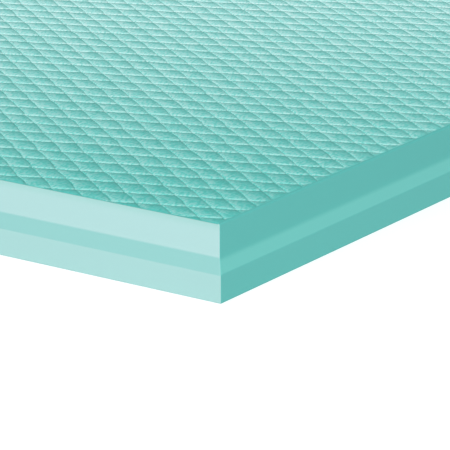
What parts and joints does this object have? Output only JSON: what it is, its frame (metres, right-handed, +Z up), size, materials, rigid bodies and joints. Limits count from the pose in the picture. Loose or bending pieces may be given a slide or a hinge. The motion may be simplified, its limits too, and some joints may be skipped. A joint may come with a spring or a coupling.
{
  "type": "xps insulation board",
  "caption": "Rigid extruded polystyrene foam board with a shallow shouldered edge on all sides and a waffle-embossed top face, for insulating floors, walls and flat roofs.",
  "frame": {"origin": "middle of the underside", "axes": "+X along the board's length, +Y across its width, +Z up through its thickness to the embossed face"},
  "size_m": [1.25, 0.6, 0.05],
  "materials": {
    "foam": "closed-cell foam with a satin extruded skin"
  },
  "bodies": {
    "root": {"insulation_board": "foam"}
  },
  "joints": []
}
